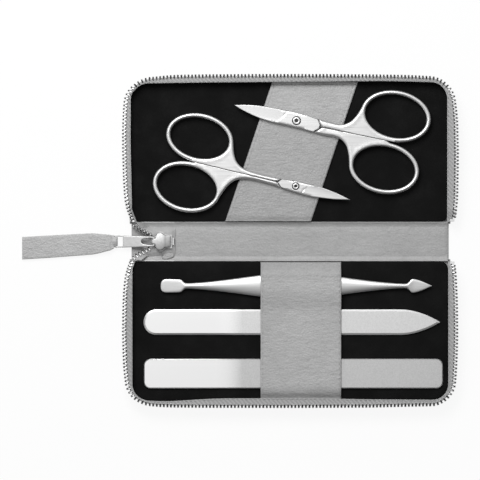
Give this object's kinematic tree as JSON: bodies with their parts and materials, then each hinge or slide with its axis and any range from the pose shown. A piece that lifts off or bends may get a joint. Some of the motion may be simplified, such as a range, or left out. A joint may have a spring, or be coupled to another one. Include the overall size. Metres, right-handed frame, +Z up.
{
  "type": "manicure set case",
  "caption": "Zip-around leather manicure case opened flat, with nail and cuticle scissors lying on a slanted panel and a pusher and two files held under a band.",
  "frame": {"origin": "middle of the spine's underside, on the surface that the open case lies on", "axes": "+X along the folds, away from the zip slider and its strap; +Y from the lower half with the files to the upper half with the scissors; +Z up out of the open trays"},
  "size_m": [0.2006, 0.154, 0.009],
  "materials": {
    "leather": "smooth matte grey leather",
    "lining": "matte black",
    "board": "pressed fibre board",
    "zip_tape": "woven grey tape",
    "zip_metal": "polished nickel",
    "steel": "fine satin stainless steel",
    "magnet": "plain ferrite"
  },
  "bodies": {
    "spine": {"spine_leather": "leather", "spine_liner": "leather", "zip_bottom_stop": "zip_metal", "zip_chain_end": "zip_metal", "upper_zip_tail": "zip_tape", "upper_tail_teeth": "zip_metal", "lower_zip_tail": "zip_tape", "lower_tail_teeth": "zip_metal"},
    "upper_half": {"upper_cover": "leather", "upper_board": "board", "upper_lining": "lining", "upper_wall": "leather", "upper_zip_tape": "zip_tape", "upper_zip_teeth": "zip_metal", "upper_top_stop": "zip_metal", "scissor_panel": "leather", "panel_magnets": "magnet"},
    "lower_half": {"lower_cover": "leather", "lower_board": "board", "lower_lining": "lining", "lower_wall": "leather", "lower_zip_tape": "zip_tape", "lower_zip_teeth": "zip_metal", "lower_top_stop": "zip_metal", "tool_band": "leather"},
    "slider": {"slider_body": "zip_metal", "slider_cap": "zip_metal"},
    "pull_tab": {"pull_tab": "steel"},
    "pull_strap": {"pull_strap": "leather"},
    "nail_scissors_front": {"nail_scissors_front": "steel", "nail_scissors_screw": "steel"},
    "nail_scissors_rear": {"nail_scissors_rear": "steel"},
    "cuticle_scissors_rear": {"cuticle_scissors_rear": "steel"},
    "cuticle_scissors_front": {"cuticle_scissors_front": "steel", "cuticle_scissors_screw": "steel"},
    "cuticle_pusher": {"cuticle_pusher": "steel"},
    "pointed_file": {"pointed_file": "steel"},
    "straight_file": {"straight_file": "steel"}
  },
  "joints": [
    {"name": "upper_fold", "type": "hinge", "parent": "spine", "child": "upper_half", "pos_m": [0, 0.008, 0.0012], "axis": [1, 0, 0], "range_deg": [0, 90], "deforming": ["upper_zip_tail", "upper_tail_teeth"]},
    {"name": "lower_fold", "type": "hinge", "parent": "spine", "child": "lower_half", "pos_m": [0, -0.008, 0.0012], "axis": [-1, 0, 0], "range_deg": [0, 90], "deforming": ["lower_zip_tail", "lower_tail_teeth"]},
    {"name": "slider_travel", "type": "slide", "parent": "spine", "child": "slider", "axis": [1, 0, 0], "range_m": [-0.005, 0], "deforming": ["upper_zip_tail", "upper_tail_teeth", "lower_zip_tail", "lower_tail_teeth"]},
    {"name": "pull_tab_flip", "type": "hinge", "parent": "slider", "child": "pull_tab", "pos_m": [-0.0626, 0, 0.0053], "axis": [0, -1, 0], "range_deg": [-144, 0]},
    {"name": "strap_swing", "type": "hinge", "parent": "pull_tab", "child": "pull_strap", "pos_m": [-0.08053, 0, 0.00165], "axis": [0, 1, 0], "range_deg": [0, 70]},
    {"name": "nail_scissors_lift", "type": "slide", "parent": "upper_half", "child": "nail_scissors_front", "axis": [0, 0, -1], "range_m": [-0.04, 0]},
    {"name": "nail_scissors_open", "type": "hinge", "parent": "nail_scissors_front", "child": "nail_scissors_rear", "pos_m": [0.00285, 0.0555, 0.0062], "axis": [0, 0, 1], "range_deg": [-12, 0]},
    {"name": "cuticle_scissors_lift", "type": "slide", "parent": "upper_half", "child": "cuticle_scissors_rear", "axis": [0, 0, -1], "range_m": [-0.055, 0]},
    {"name": "cuticle_scissors_open", "type": "hinge", "parent": "cuticle_scissors_rear", "child": "cuticle_scissors_front", "pos_m": [0.0025, 0.0254, 0.0062], "axis": [0, 0, -1], "range_deg": [-16, 0]},
    {"name": "pusher_slide", "type": "slide", "parent": "lower_half", "child": "cuticle_pusher", "axis": [1, 0, 0], "range_m": [-0.013, 0.006]},
    {"name": "pointed_file_slide", "type": "slide", "parent": "lower_half", "child": "pointed_file", "axis": [1, 0, 0], "range_m": [-0.0045, 0.003]},
    {"name": "straight_file_slide", "type": "slide", "parent": "lower_half", "child": "straight_file", "axis": [1, 0, 0], "range_m": [-0.0045, 0.0018]}
  ]
}
